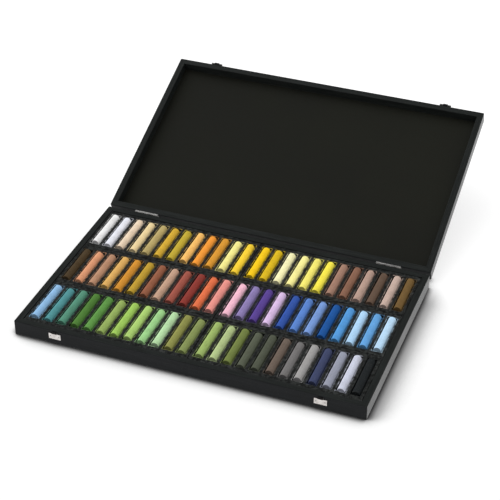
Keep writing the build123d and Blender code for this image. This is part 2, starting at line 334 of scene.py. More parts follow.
def scale_vector(tree, vector, factor):
    """A vector times a number."""
    values = {0: vector, "Scale": factor}
    return add_node(tree, "ShaderNodeVectorMath", values, operation="SCALE").outputs[0]


def dot(tree, first, second):
    """Two vectors' dot product."""
    values = {0: first, 1: second}
    node = add_node(tree, "ShaderNodeVectorMath", values, operation="DOT_PRODUCT")
    return node.outputs["Value"]


def split_vector(tree, vector):
    """A vector's three numbers."""
    return add_node(tree, "ShaderNodeSeparateXYZ", {0: vector}).outputs


def join_vector(tree, x=0.0, y=0.0, z=0.0):
    """A vector from three numbers."""
    return add_node(tree, "ShaderNodeCombineXYZ", {"X": x, "Y": y, "Z": z}).outputs[0]


def blend_colours(tree, share, first, second, blend_type="MIX"):
    """A Mix node's colour; a colour written out gets its alpha here."""
    values = {}
    for index, value in ((0, share), (6, first), (7, second)):
        values[index] = (*value, 1) if isinstance(value, tuple) and len(value) == 3 else value
    return add_node(tree, "ShaderNodeMix", values, data_type="RGBA", blend_type=blend_type).outputs[2]


def blend_values(tree, share, first, second):
    """A Mix node's number."""
    return add_node(tree, "ShaderNodeMix", {0: share, 2: first, 3: second}).outputs[0]


def spread(tree, value, low, high, to_low=0.0, to_high=1.0):
    """A value stretched from one range to another, smoothly at both ends."""
    values = {"Value": value, 1: low, 2: high, 3: to_low, 4: to_high}
    return add_node(tree, "ShaderNodeMapRange", values, interpolation_type="SMOOTHSTEP").outputs[0]


def own_coordinates(tree):
    """A piece's own coordinates and its normal, which turn with it."""
    return add_node(tree, "ShaderNodeTexCoord").outputs


def painted(tree, name, output="Color"):
    """A value that a piece's mesh carries."""
    return add_node(tree, "ShaderNodeAttribute", attribute_name=name).outputs[output]


def tinted(tree, mask, strength, colour, other):
    """A colour blended to another by a mask at a strength."""
    return blend_colours(tree, times(tree, mask, strength), colour, other)


def deepened(tree, colour, factors):
    """A colour times another."""
    return blend_colours(tree, 1.0, colour, factors, blend_type="MULTIPLY")


def noise(tree, where, scale, detail=2.0, roughness=0.5, distortion=0.0):
    """A Noise Texture's value over a vector."""
    values = {"Vector": where, "Scale": scale, "Detail": detail}
    values.update({"Roughness": roughness, "Distortion": distortion})
    return add_node(tree, "ShaderNodeTexNoise", values).outputs[0]


def new_group(name, inputs, outputs, kind="ShaderNodeTree"):
    """A node group with named sockets; returns it with its input's sockets and its output node."""
    tree = bpy.data.node_groups.new(name, kind)
    for in_out, sockets in (("INPUT", inputs), ("OUTPUT", outputs)):
        for socket_name, socket_kind, *default in sockets:
            socket = tree.interface.new_socket(
                socket_name, in_out=in_out, socket_type=f"NodeSocket{socket_kind}"
            )
            if default:
                socket.default_value = default[0]
    return tree, tree.nodes.new("NodeGroupInput").outputs, tree.nodes.new("NodeGroupOutput")


def deliver(tree, end, outputs):
    """Links a group's results to its output node, by name."""
    for name, socket in outputs.items():
        tree.links.new(socket, end.inputs[name])


def use_group(tree, name, inputs):
    """Places a shared group in a tree, with its inputs by name."""
    kind = tree.bl_idname.replace("NodeTree", "NodeGroup")
    return add_node(tree, kind, inputs, node_tree=bpy.data.node_groups[name]).outputs


# ---- shared shader groups


def grain_group():
    """Fine closed grain that runs along the first axis of its vector."""
    inputs = [("Vector", "Vector"), ("Scale", "Float", 1.0)]
    tree, given, end = new_group("Wood grain", inputs, [("Grain", "Float")])
    stretched = vector_of(tree, "MULTIPLY", given["Vector"], (26.0, 520.0, 520.0))
    scaled = scale_vector(tree, stretched, given["Scale"])
    fibres = noise(tree, scaled, 1.0, detail=4.0, roughness=0.6, distortion=0.4)
    pores = spread(tree, noise(tree, scaled, 3.4), 0.56, 0.72)
    deliver(tree, end, {"Grain": calculate(tree, "MULTIPLY_ADD", pores, -0.3, fibres)})


def edge_group():
    """Finds the edges of a solid by comparing its normal with one that is rounded over."""
    inputs = [("Vector", "Vector"), ("Width", "Float", 0.0005), ("Patchiness", "Float", 0.6)]
    tree, given, end = new_group("Edge wear", inputs, [("Wear", "Float")])
    rounded = add_node(tree, "ShaderNodeBevel", {"Radius": given["Width"]}, samples=4).outputs[0]
    flat = add_node(tree, "ShaderNodeNewGeometry").outputs["Normal"]
    edge = spread(tree, dot(tree, rounded, flat), 0.995, 0.86)
    patches = spread(tree, noise(tree, given["Vector"], 90.0, detail=5.0), 0.36, 0.66)
    gaps = times(tree, calculate(tree, "SUBTRACT", 1.0, patches), given["Patchiness"])
    kept = calculate(tree, "SUBTRACT", 1.0, gaps)
    deliver(tree, end, {"Wear": times(tree, edge, kept, clamp=True)})


def dust_group():
    """Scattered powder: a film in patches, and separate specks."""
    inputs = [("Vector", "Vector"), ("Amount", "Float", 0.3), ("Speck size", "Float", 0.0006)]
    tree, given, end = new_group("Chalk dust", inputs, [("Film", "Float"), ("Specks", "Float")])
    cloud = noise(tree, given["Vector"], 260.0, detail=6.0, roughness=0.65)
    threshold = calculate(tree, "MULTIPLY_ADD", given["Amount"], -0.5, 0.72)
    above = calculate(tree, "SUBTRACT", cloud, threshold)
    film = times(tree, above, 5.0, clamp=True)
    frequency = calculate(tree, "DIVIDE", 1.0, given["Speck size"])
    cells = add_node(tree, "ShaderNodeTexVoronoi", {"Vector": given["Vector"], "Scale": frequency}).outputs
    chance = add_node(tree, "ShaderNodeTexWhiteNoise", {"Vector": cells["Color"]}).outputs["Value"]
    chosen = calculate(tree, "LESS_THAN", chance, given["Amount"])
    dots = calculate(tree, "LESS_THAN", cells["Distance"], 0.3)
    deliver(tree, end, {"Film": film, "Specks": times(tree, chosen, dots)})


def seam_group():
    """The hairline where two boards meet in a mitre at a corner of the case."""
    inputs = [("Vector", "Vector"), ("Half width", "Float", 0.2), ("Half depth", "Float", 0.1)]
    inputs += [("Line", "Float", 0.0003)]
    tree, given, end = new_group("Mitre seam", inputs, [("Line", "Float"), ("Near", "Float")])
    place = split_vector(tree, given["Vector"])
    from_side = calculate(tree, "SUBTRACT", given["Half width"], calculate(tree, "ABSOLUTE", place["X"]))
    from_end = calculate(tree, "SUBTRACT", given["Half depth"], calculate(tree, "ABSOLUTE", place["Y"]))
    off = calculate(tree, "ABSOLUTE", calculate(tree, "SUBTRACT", from_side, from_end))
    wide = times(tree, given["Line"], 6.0)
    line = spread(tree, off, 0.0, given["Line"], 1.0, 0.0)
    deliver(tree, end, {"Line": line, "Near": spread(tree, off, given["Line"], wide, 1.0, 0.0)})


# ---- materials


def new_material(name):
    """A material with its tree and its Principled BSDF."""
    material = bpy.data.materials.new(name)
    material.use_nodes = True
    return material, material.node_tree, material.node_tree.nodes["Principled BSDF"]


def join_surface(tree, shader, colour, roughness, height, depth, fixed=None):
    """Links a shader's colour, roughness and bump, and sets its fixed sockets."""
    tree.links.new(colour, shader.inputs["Base Color"])
    tree.links.new(roughness, shader.inputs["Roughness"])
    bump = add_node(tree, "ShaderNodeBump", {"Height": height, "Distance": depth})
    tree.links.new(bump.outputs[0], shader.inputs["Normal"])
    for key, value in (fixed or {}).items():
        shader.inputs[key].default_value = value


def shut_coordinates(tree, of_lid):
    """Object coordinates of a piece of the case as they are with the lid shut."""
    place = own_coordinates(tree)["Object"]
    if not of_lid:
        return place
    turned = {"Vector": place, "Location": HINGE_POINT, "Rotation": (LID_SWING, 0, 0)}
    from_hinge = add_node(tree, "ShaderNodeMapping", turned, vector_type="TEXTURE").outputs[0]
    return vector_of(tree, "ADD", from_hinge, HINGE_POINT)


def outside_mask(tree, where):
    """1 on the outer faces of the shut case, which have a coat of varnish, and 0 on rims and inside."""
    place = split_vector(tree, where)
    side = calculate(tree, "SUBTRACT", CASE_HALF.x, calculate(tree, "ABSOLUTE", place["X"]))
    end = calculate(tree, "SUBTRACT", CASE_HALF.y, calculate(tree, "ABSOLUTE", place["Y"]))
    return spread(tree, calculate(tree, "MINIMUM", side, end), 0.0001, 0.0004, 1.0, 0.0)


def lacquer_layers(tree, where, outside, along_y):
    """Colour, roughness and height of black lacquer over closed grain that runs along the board."""
    wood = bpy.context.scene.pastel_case_wood
    lacquer = blend_colours(tree, outside, tuple(wood.rim), tuple(wood.lacquer))
    deep = deepened(tree, lacquer, (0.62, 0.62, 0.62))
    quarter = (0, 0, math.radians(90) if along_y else 0)
    along = add_node(tree, "ShaderNodeMapping", {"Vector": where, "Rotation": quarter}).outputs[0]
    grain = use_group(tree, "Wood grain", {"Vector": along, "Scale": 1.0})["Grain"]
    rubbing_and_highlight = {"Vector": where, "Width": wood.wear_width, "Patchiness": 0.55}
    wear_and_highlight = use_group(tree, "Edge wear", rubbing_and_highlight)["Wear"]
    corners = {"Half width": CASE_HALF.x, "Half depth": CASE_HALF.y, "Line": wood.seam}
    seam = use_group(tree, "Mitre seam", {"Vector": where, **corners})
    dust = use_group(tree, "Chalk dust", {"Vector": where, "Amount": 0.05, "Speck size": 0.0007})

    colour = blend_colours(tree, spread(tree, grain, 0.25, 0.7), deep, lacquer)
    off_seam = calculate(tree, "SUBTRACT", 1.0, seam["Near"])
    # Edges are lightened in colour: partly rubbed lacquer, partly a painted highlight where they catch the
    # light.
    colour = tinted(tree, times(tree, wear_and_highlight, off_seam), 0.4, colour, tuple(wood.rubbed_and_lit))
    colour = tinted(tree, seam["Line"], 0.7, colour, screen(8, 8, 8))
    colour = tinted(tree, dust["Specks"], 0.2, colour, screen(120, 116, 110))

    smudged = spread(tree, noise(tree, where, 14.0, detail=3.0), 0.3, 0.75, 0.3, 0.44)
    roughness = calculate(tree, "MULTIPLY_ADD", grain, 0.12, smudged)
    height = calculate(tree, "SUBTRACT", grain, times(tree, seam["Line"], 1.5))
    return colour, roughness, height


def lacquer_material(name, of_lid, along_y):
    """Black satin lacquer for one direction of board in one shell."""
    material, tree, shader = new_material(name)
    where = shut_coordinates(tree, of_lid)
    outside = outside_mask(tree, where)
    colour, roughness, height = lacquer_layers(tree, where, outside, along_y)
    tree.links.new(outside, shader.inputs["Coat Weight"])
    fixed = {"Specular IOR Level": 0.06, "Coat IOR": 1.135, "Coat Roughness": 0.2}
    join_surface(tree, shader, colour, roughness, height, 0.00005, fixed)
    return material


def panel_material(name, of_lid):
    """A thin board: lacquered outside, and lined with matt black card inside."""
    wood = bpy.context.scene.pastel_case_wood
    lining = tuple(wood.lining)
    material, tree, shader = new_material(name)
    where = shut_coordinates(tree, of_lid)
    colour, roughness, height = lacquer_layers(tree, where, 1.0, along_y=False)

    fibres = noise(tree, where, 900.0, detail=3.0, roughness=0.7)
    clouds = noise(tree, where, 9.0, detail=4.0, roughness=0.55)
    dust = use_group(tree, "Chalk dust", {"Vector": where, "Amount": 0.04, "Speck size": 0.0006})
    card = blend_colours(tree, spread(tree, clouds, 0.3, 0.7), lining, tuple(v * 1.3 for v in lining))
    card = tinted(tree, fibres, 0.16, card, screen(52, 52, 48))
    card = tinted(tree, dust["Specks"], 0.14, card, screen(96, 94, 90))

    inward = (0, math.sin(LID_SWING), -math.cos(LID_SWING)) if of_lid else (0, 0, 1)
    facing = dot(tree, own_coordinates(tree)["Normal"], inward)
    inner = calculate(tree, "GREATER_THAN", facing, 0.5)
    colour = blend_colours(tree, inner, colour, card)
    roughness = blend_values(tree, inner, roughness, spread(tree, clouds, 0.3, 0.7, 0.62, 0.76))
    height = blend_values(tree, inner, height, fibres)
    join_surface(tree, shader, colour, roughness, height, 0.00004, {"Specular IOR Level": 0.12})
    return material


def metal_material(name, colour, dull, roughness, painted_dark_top=0.0):
    """Plated sheet metal with fine draw lines, fingerprints and edges painted brighter, part wear and part
    painted highlight; what faces up can be painted near black, a painted shade and dark reflection on the
    nose's sloping top."""
    material, tree, shader = new_material(name)
    coordinates = own_coordinates(tree)
    where = coordinates["Object"]
    lines = noise(tree, vector_of(tree, "MULTIPLY", where, (1.0, 12.0, 12.0)), 700.0, detail=3.0)
    prints = noise(tree, where, 160.0, detail=3.0, distortion=0.6)
    wear_and_highlight = use_group(tree, "Edge wear", {"Vector": where, "Width": 0.0003, "Patchiness": 0.3})["Wear"]
    plated = blend_colours(tree, spread(tree, prints, 0.3, 0.72), dull, colour)
    # Edges are brightened in colour: partly wear, partly a painted highlight where they catch the light.
    plated = blend_colours(tree, wear_and_highlight, plated, tuple(min(1.0, v * 1.15) for v in colour))
    if painted_dark_top:
        # The upward faces are darkened toward black in colour: painted shade and a painted dark reflection.
        upward_painted_shade = spread(tree, dot(tree, coordinates["Normal"], (0, 0, 1)), 0.3, 0.6, 0.0, painted_dark_top)
        plated = blend_colours(tree, upward_painted_shade, plated, screen(16, 16, 18))
    hazy = spread(tree, prints, 0.25, 0.75, roughness, roughness + 0.12)
    rough = calculate(tree, "MULTIPLY_ADD", lines, 0.16, hazy)
    join_surface(tree, shader, plated, rough, lines, 0.00002, {"Metallic": 1.0})
    return material


def foam_material():
    """Black closed-cell foam with cut cells whose hollows are painted dark as shade, and the powder of the
    sticks about its pockets.
    """
    foam = bpy.context.scene.pastel_case_foam
    clean = tuple(foam.colour)
    dark = tuple(v * 0.22 for v in clean)
    material, tree, shader = new_material("black_foam")
    coordinates = own_coordinates(tree)
    where = coordinates["Object"]
    cells = add_node(tree, "ShaderNodeTexVoronoi", {"Vector": where, "Scale": 900.0})
    pits = cells.outputs["Distance"]
    coarse = noise(tree, where, 300.0, detail=4.0, roughness=0.75)
    clouds = noise(tree, where, 45.0, detail=3.0)
    tone = blend_colours(tree, spread(tree, coarse, 0.42, 0.6), dark, clean)
    pale = tuple(v * 1.6 for v in clean)
    scuffs = times(tree, spread(tree, clouds, 0.4, 0.7), spread(tree, coarse, 0.5, 0.66))
    tone = blend_colours(tree, scuffs, tone, pale)
    # Each cut cell is darkened towards its middle, where the bump makes its hollow: painted shade.
    tone = blend_colours(tree, spread(tree, pits, 0.0, 0.4), dark, tone)

    # Powder lies on what faces up: a film and specks about a pocket, and a broken line on its lip.
    tint = painted(tree, "pigment")
    near = painted(tree, "near_pocket", "Fac")
    facing = spread(tree, dot(tree, coordinates["Normal"], (0, 0, 1)), 0.1, 0.6)
    dust = use_group(tree, "Chalk dust", {"Vector": where, "Amount": foam.dust, "Speck size": 0.0006})
    loose = calculate(tree, "MAXIMUM", dust["Film"], dust["Specks"])
    loose = times(tree, times(tree, loose, near), 0.5)
    broken = spread(tree, noise(tree, where, 240.0, detail=3.0), 0.42, 0.56)
    line = times(tree, spread(tree, near, 0.6, 0.9), broken)
    powder = calculate(tree, "MAXIMUM", loose, times(tree, line, foam.lip_dust))
    colour = tinted(tree, powder, facing, tone, tint)
    height = calculate(tree, "MULTIPLY_ADD", coarse, 0.6, pits)
    rough = spread(tree, coarse, 0.2, 0.8, 0.86, 1.0)
    join_surface(tree, shader, colour, rough, height, 0.00025, {"Specular IOR Level": 0.1})
    return material


def chalk_material():
    """Pressed chalk: the stick's own pigment, worn and speckled, with powder on it, and painted shade on its
    cut ends.
    """
    material, tree, shader = new_material("pressed_chalk")
    coordinates = own_coordinates(tree)
    pigment = painted(tree, "pigment")
    where = vector_of(tree, "ADD", coordinates["Object"], painted(tree, "own", "Vector"))
    clouds = noise(tree, where, 95.0, detail=4.0, roughness=0.6)
    fine = noise(tree, where, 1400.0, detail=3.0, roughness=0.7)
    deeper = deepened(tree, pigment, (0.88, 0.87, 0.86))
    tone = blend_colours(tree, spread(tree, clouds, 0.25, 0.6), deeper, pigment)
    powdery = deepened(tree, pigment, (1.4, 1.38, 1.36))
    tone = blend_colours(tree, spread(tree, fine, 0.5, 0.72, 0.0, 0.8), tone, powdery)
    dust = use_group(tree, "Chalk dust", {"Vector": where, "Amount": 0.16, "Speck size": 0.0007})
    tone = tinted(tree, dust["Specks"], 0.14, tone, screen(206, 200, 190))
    grime = spread(tree, noise(tree, where, 48.0, detail=5.0, roughness=0.7), 0.6, 0.8, 0.0, 0.2)
    tone = blend_colours(tree, grime, tone, screen(88, 78, 70))
    # Both cut ends are darkened in colour: painted shade, as the ends lie in the shade of their pockets.
    end_on = calculate(tree, "ABSOLUTE", dot(tree, coordinates["Normal"], (0, 1, 0)))
    painted_end_shade = deepened(tree, tone, (0.4, 0.4, 0.41))
    tone = blend_colours(tree, spread(tree, end_on, 0.55, 0.9), tone, painted_end_shade)
    height = calculate(tree, "MULTIPLY_ADD", clouds, 1.6, fine)
    rough = spread(tree, fine, 0.3, 0.7, 0.82, 0.96)
    fixed = {"Specular IOR Level": 0.12, "Diffuse Roughness": 1.0}
    join_surface(tree, shader, tone, rough, height, 0.00012, fixed)
    return material


def openness(tree, distance, **inputs):
    """How open it is round a point within a distance."""
    inputs["Distance"] = distance
    return add_node(tree, "ShaderNodeAmbientOcclusion", inputs, samples=16).outputs["AO"]


def background_rays(tree):
    """1 for the rays that show the background: from the camera, in reflections and through glass."""
    rays = add_node(tree, "ShaderNodeLightPath").outputs
    shown = calculate(tree, "MAXIMUM", rays["Is Camera Ray"], rays["Is Glossy Ray"])
    return calculate(tree, "MAXIMUM", shown, rays["Is Transmission Ray"])


def floor_material(stage):
    """White, part lit and part its own glow, and dimmer close to the case both from real light and from a
    painted shadow in the glow, with a painted brightening behind it.
    """
    material, tree, shader = new_material("white_floor")
    tree.nodes.remove(shader)
    # Leaning the wide test to the key makes the painted shadow band wider on the case's far side.
    lean = join_vector(tree, *Vector(stage.key_from).normalized())
    band = spread(tree, openness(tree, stage.floor_painted_shadow, Normal=lean), 0.5, 0.88, 0.1, 1.0)
    # Behind the case's back the painted shadow band gives way to a painted brightening, 1.2 times the glow,
    # which washes out the lid's shadow there.
    depth = split_vector(tree, add_node(tree, "ShaderNodeNewGeometry").outputs["Position"])["Y"]
    behind = spread(tree, depth, CASE_HALF.y * 0.7, CASE_HALF.y * 1.1)
    band = blend_values(tree, behind, band, 1.2)
    foot = spread(tree, openness(tree, stage.floor_painted_contact_shadow), 0.4, 0.97)
    # Only the camera sees the two painted shadows, so that they don't darken the case's walls.
    straight = add_node(tree, "ShaderNodeLightPath").outputs["Is Camera Ray"]
    foot, band = (blend_values(tree, straight, 1.0, value) for value in (foot, band))

    seen = background_rays(tree)
    lit = blend_values(tree, seen, stage.floor_white, times(tree, foot, stage.floor_lit))
    matt = add_node(tree, "ShaderNodeBsdfDiffuse", {"Color": join_vector(tree, lit, lit, lit)})
    strength = times(tree, seen, times(tree, band, times(tree, foot, stage.floor_glow)))
    glow = add_node(tree, "ShaderNodeEmission", {"Color": (1, 1, 1, 1), "Strength": strength})
    both = add_node(tree, "ShaderNodeAddShader", {0: matt.outputs[0], 1: glow.outputs[0]})
    tree.links.new(both.outputs[0], tree.nodes["Material Output"].inputs["Surface"])
    return material


# ---- geometry helpers


def new_object(name, mesh):
    """An object with its mesh, linked to the scene."""
    piece = bpy.data.objects.new(name, mesh)
    bpy.context.scene.collection.objects.link(piece)
    return piece


def shape_with(piece, tree, values):
    """Gives an object a Geometry Nodes tree, with its inputs by name."""
    modifier = piece.modifiers.new(tree.name, "NODES")
    modifier.node_group = tree
    for socket in tree.interface.items_tree:
        if socket.name in values and socket.in_out == "INPUT":
            modifier[socket.identifier] = values[socket.name]


def bake_nodes(source, name):
    """The mesh that an object's Geometry Nodes make, as a plain object; the source goes."""
    graph = bpy.context.evaluated_depsgraph_get()
    made = source.evaluated_get(graph)
    mesh = bpy.data.meshes.new_from_object(made, preserve_all_data_layers=True, depsgraph=graph)
    mesh.name = name
    bpy.data.objects.remove(source)
    return new_object(name, mesh)


def row_of_points(place):
    """One point where each stick of a tray lies, with its pigment on it."""
    low, high = STICK_BOX[place]
    middle = (low + high) / 2
    first = low.x + STICK_DIAMETER / 2
    mesh = bpy.data.meshes.new(f"row_{place}")
    points = [(first + i * STICK_PITCH, middle.y, middle.z) for i in range(STICKS_PER_TRAY)]
    mesh.from_pydata(points, [], [])
    colours = mesh.attributes.new("pigment", "FLOAT_COLOR", "POINT")
    for item, (pigment, tint) in zip(colours.data, STICKS[place]):
        item.color = (*pigment_colour(pigment, tint), 1)
    return new_object(f"row_{place}", mesh)


def stick_rings(length, diameter, edge, dome):
    """Radius and place along a stick of its rings: a domed end, its rounded edge and the body,
    the same from both ends."""
    flat = diameter / 2 - edge
    end = [(flat * share, dome * share**2) for share in (0.3, 0.6, 0.85, 1.0)]
    for degrees in (22.5, 45, 67.5, 90):
        angle = math.radians(degrees)
        end.append((flat + edge * math.sin(angle), dome + edge * (1 - math.cos(angle))))
    body_from = end[-1][1]
    bands = 28
    step = (length - 2 * body_from) / bands
    body = [(diameter / 2, body_from + step * i) for i in range(1, bands)]
    return end + body + [(radius, length - depth) for radius, depth in reversed(end)]


def round_stick(length, diameter, edge, dome, sides=32):
    """One stick along Y about the origin, with closed ends."""
    bm = bmesh.new()
    rings = []
    for radius, place in stick_rings(length, diameter, edge, dome):
        angles = [2 * math.pi * i / sides for i in range(sides)]
        y = place - length / 2
        rings.append([bm.verts.new((radius * math.sin(a), y, radius * math.cos(a))) for a in angles])
    for first, last in zip(rings, rings[1:]):
        for i in range(sides):
            j = (i + 1) % sides
            bm.faces.new((first[i], first[j], last[j], last[i]))
    for ring, y in ((rings[0], -length / 2), (rings[-1], length / 2)):
        pole = bm.verts.new((0, y, 0))
        for i in range(sides):
            bm.faces.new((ring[i], ring[(i + 1) % sides], pole))
    bmesh.ops.recalc_face_normals(bm, faces=bm.faces)
    mesh = bpy.data.meshes.new("stick")
    bm.to_mesh(mesh)
    bm.free()
    return new_object("stick", mesh)


def grid_lines(stops, support, step):
    """Lines at every stop, one to each side of it for its rounding, and evenly between."""
    low, high = min(stops), max(stops)
    close = [stop + side * support for stop in stops for side in (-1, 0, 1)]
    marks = sorted(v for v in close if low <= v <= high)
    lines = []
    for first, last in zip(marks, marks[1:]):
        count = max(1, round((last - first) / step))
        lines += [first + (last - first) * i / count for i in range(count)]
    return lines + [high]


def slab_cage(name, xs, ys, zs, hole=None, open_sides=()):
    """The cage of a slab between grid lines, with walls round a hole through it; a side that is
    left open, -1 for the left one and 1 for the right one, meets the next slab."""
    across, along, up = len(xs) - 1, len(ys) - 1, len(zs) - 1
    bm = bmesh.new()
    corners = {}

    def solid(i, j):
        """Whether there is foam between these grid lines."""
        if i < 0 or i >= across:
            return (-1 if i < 0 else 1) in open_sides
        if j < 0 or j >= along:
            return False
        if hole is None:
            return True
        x, y = (xs[i] + xs[i + 1]) / 2, (ys[j] + ys[j + 1]) / 2
        (left, front), (right, back) = hole
        return not (left < x < right and front < y < back)

    def corner(i, j, k):
        """The vertex at a grid crossing."""
        if (i, j, k) not in corners:
            corners[i, j, k] = bm.verts.new((xs[i], ys[j], zs[k]))
        return corners[i, j, k]

    def wall(first, last):
        """A wall down the slab between two crossings, seen from outside left to right."""
        for k in range(up):
            low, high = (*first, k), (*last, k)
            top_high, top_low = (*last, k + 1), (*first, k + 1)
            bm.faces.new([corner(*c) for c in (low, high, top_high, top_low)])

    for i in range(across):
        for j in range(along):
            if not solid(i, j):
                continue
            round_top = [(i, j), (i + 1, j), (i + 1, j + 1), (i, j + 1)]
            bm.faces.new([corner(*c, up) for c in round_top])
            bm.faces.new([corner(*c, 0) for c in reversed(round_top)])
            for neighbour, start, stop in (
                ((i, j - 1), 0, 1),
                ((i + 1, j), 1, 2),
                ((i, j + 1), 2, 3),
                ((i - 1, j), 3, 0),
            ):
                if not solid(*neighbour):
                    wall(round_top[start], round_top[stop])
    mesh = bpy.data.meshes.new(name)
    bm.to_mesh(mesh)
    bm.free()
    return new_object(name, mesh)


# ---- Geometry Nodes: what the pastels and the foam share


MATERIAL = ("Material", "Material")


def new_shape(name, inputs):
    """A Geometry Nodes tree that takes geometry and gives it back."""
    geometry = ("Geometry", "Geometry")
    return new_group(name, [geometry, *inputs], [geometry], "GeometryNodeTree")


def shape_of(tree, source):
    """Another object's geometry."""
    return add_node(tree, "GeometryNodeObjectInfo", {"Object": source}).outputs["Geometry"]


def store(tree, geometry, name, value, data_type):
    """Geometry with a value kept under a name on its points."""
    values = {"Geometry": geometry, "Name": name, "Value": value}
    kind = "GeometryNodeStoreNamedAttribute"
    return add_node(tree, kind, values, data_type=data_type, domain="POINT").outputs[0]


def recall(tree, name, data_type):
    """A value kept under a name."""
    kind = "GeometryNodeInputNamedAttribute"
    return add_node(tree, kind, {"Name": name}, data_type=data_type).outputs[0]


def here(tree):
    """Where each point is."""
    return add_node(tree, "GeometryNodeInputPosition").outputs[0]


def roughened(tree, geometry, where, broad, fine, fine_share, depth):
    """Geometry pressed in along its normals by broad and fine noise, and shaded smooth."""
    hollows = times(tree, noise(tree, where, broad, detail=3.0), 1 - fine_share)
    both = calculate(tree, "MULTIPLY_ADD", noise(tree, where, fine), fine_share, hollows)
    inward = times(tree, times(tree, both, depth), -1.0)
    normal = add_node(tree, "GeometryNodeInputNormal").outputs[0]
    moves = {"Geometry": geometry, "Offset": scale_vector(tree, normal, inward)}
    skin = add_node(tree, "GeometryNodeSetPosition", moves).outputs[0]
    return add_node(tree, "GeometryNodeSetShadeSmooth", {0: skin}).outputs[0]


def deliver_with_material(tree, end, geometry, material):
    """Ends a tree with its geometry in its material."""
    done = add_node(tree, "GeometryNodeSetMaterial", {0: geometry, "Material": material})
    deliver(tree, end, {"Geometry": done.outputs[0]})


# ---- Geometry Nodes: pastels


def stick_row_tree():
    """One round stick at each point of a row, each a little different from the next."""
    inputs = [("Stick", "Object"), ("Slide", "Float", 0.001), ("Sway", "Float", 0.0003)]
    inputs += [("Turn", "Float", 0.01), ("Unevenness", "Float", 0.0002), ("Seed", "Int", 0)]
    tree, given, end = new_shape("Pastel row", [*inputs, MATERIAL])
    stick = shape_of(tree, given["Stick"])
    index = add_node(tree, "GeometryNodeInputIndex").outputs[0]

    def chance(low, high, salt):
        """A random vector for each point."""
        seed = calculate(tree, "ADD", given["Seed"], float(salt))
        values = {0: low, 1: high, "ID": index, "Seed": seed}
        return add_node(tree, "FunctionNodeRandomValue", values, data_type="FLOAT_VECTOR").outputs[0]

    # A stick has most of its room to slide at the back of its pocket.
    reach = join_vector(tree, given["Sway"], given["Slide"], 0.0)
    shift = vector_of(tree, "MULTIPLY", chance((-1, -0.3, 0), (1, 1, 0), 1), reach)
    moved = add_node(tree, "GeometryNodeSetPosition", {"Geometry": given["Geometry"], "Offset": shift})
    numbered = store(tree, moved.outputs[0], "own", chance((0, 0, 0), (9, 9, 9), 2), "FLOAT_VECTOR")
    turn = scale_vector(tree, chance((-0.6, 0, -1), (0.6, 0, 1), 3), given["Turn"])
    laid = {"Points": numbered, "Instance": stick, "Rotation": turn}
    laid["Scale"] = chance((0.975, 0.985, 0.975), (1, 1, 1), 4)
    sticks = add_node(tree, "GeometryNodeInstanceOnPoints", laid)
    real = add_node(tree, "GeometryNodeRealizeInstances", {0: sticks.outputs[0]})

    where = vector_of(tree, "ADD", here(tree), recall(tree, "own", "FLOAT_VECTOR"))
    skin = roughened(tree, real.outputs[0], where, 85.0, 420.0, 0.35, given["Unevenness"])
    deliver_with_material(tree, end, skin, given["Material"])
    return tree


# ---- Geometry Nodes: foam


FOAM_INPUTS = [
    ("Row", "Object"),
    ("Pocket width", "Float", 0.0116),
    ("Pocket length", "Float", 0.0676),
    ("Pocket middle", "Float", 0.0),
    ("Dust reach", "Float", 0.003),
    ("Unevenness", "Float", 0.0003),
]


def foam_skin_group():
    """Rounds a foam cage, roughens its cut faces inwards and marks where powder settles."""
    tree, given, end = new_shape("Foam skin", FOAM_INPUTS)
    cage = {"Mesh": given["Geometry"], "Level": 1}
    rounded = add_node(tree, "GeometryNodeSubdivisionSurface", cage).outputs[0]
    place = here(tree)
    row = shape_of(tree, given["Row"])
    search = {"Geometry": row, "Sample Position": place}
    nearest = add_node(tree, "GeometryNodeSampleNearest", search).outputs["Index"]
    tint = recall(tree, "pigment", "FLOAT_COLOR")

    def of_stick(value, data_type):
        """A value read from the nearest stick's point."""
        values = {"Geometry": row, "Value": value, "Index": nearest}
        return add_node(tree, "GeometryNodeSampleIndex", values, data_type=data_type).outputs[0]

    stick_x = split_vector(tree, of_stick(place, "FLOAT_VECTOR"))["X"]
    point = split_vector(tree, place)
    beside = calculate(tree, "ABSOLUTE", calculate(tree, "SUBTRACT", point["X"], stick_x))
    along = calculate(tree, "SUBTRACT", point["Y"], given["Pocket middle"])
    beyond = calculate(tree, "ABSOLUTE", along)
    out_x = calculate(tree, "MULTIPLY_ADD", given["Pocket width"], -0.5, beside)
    out_y = calculate(tree, "MULTIPLY_ADD", given["Pocket length"], -0.5, beyond)
    outside = calculate(tree, "MAXIMUM", out_x, out_y)
    near = spread(tree, outside, 0.0, given["Dust reach"], 1.0, 0.0)

    coloured = store(tree, rounded, "pigment", of_stick(tint, "FLOAT_COLOR"), "FLOAT_COLOR")
    marked = store(tree, coloured, "near_pocket", near, "FLOAT")
    skin = roughened(tree, marked, place, 70.0, 380.0, 0.4, given["Unevenness"])
    deliver(tree, end, {"Geometry": skin})


def finish_foam(tree, given, end, geometry):
    """Ends a foam's tree with its skin and its material."""
    passed = {name: given[name] for name, *_ in FOAM_INPUTS}
    skin = use_group(tree, "Foam skin", {"Geometry": geometry, **passed})[0]
    deliver_with_material(tree, end, skin, given["Material"])


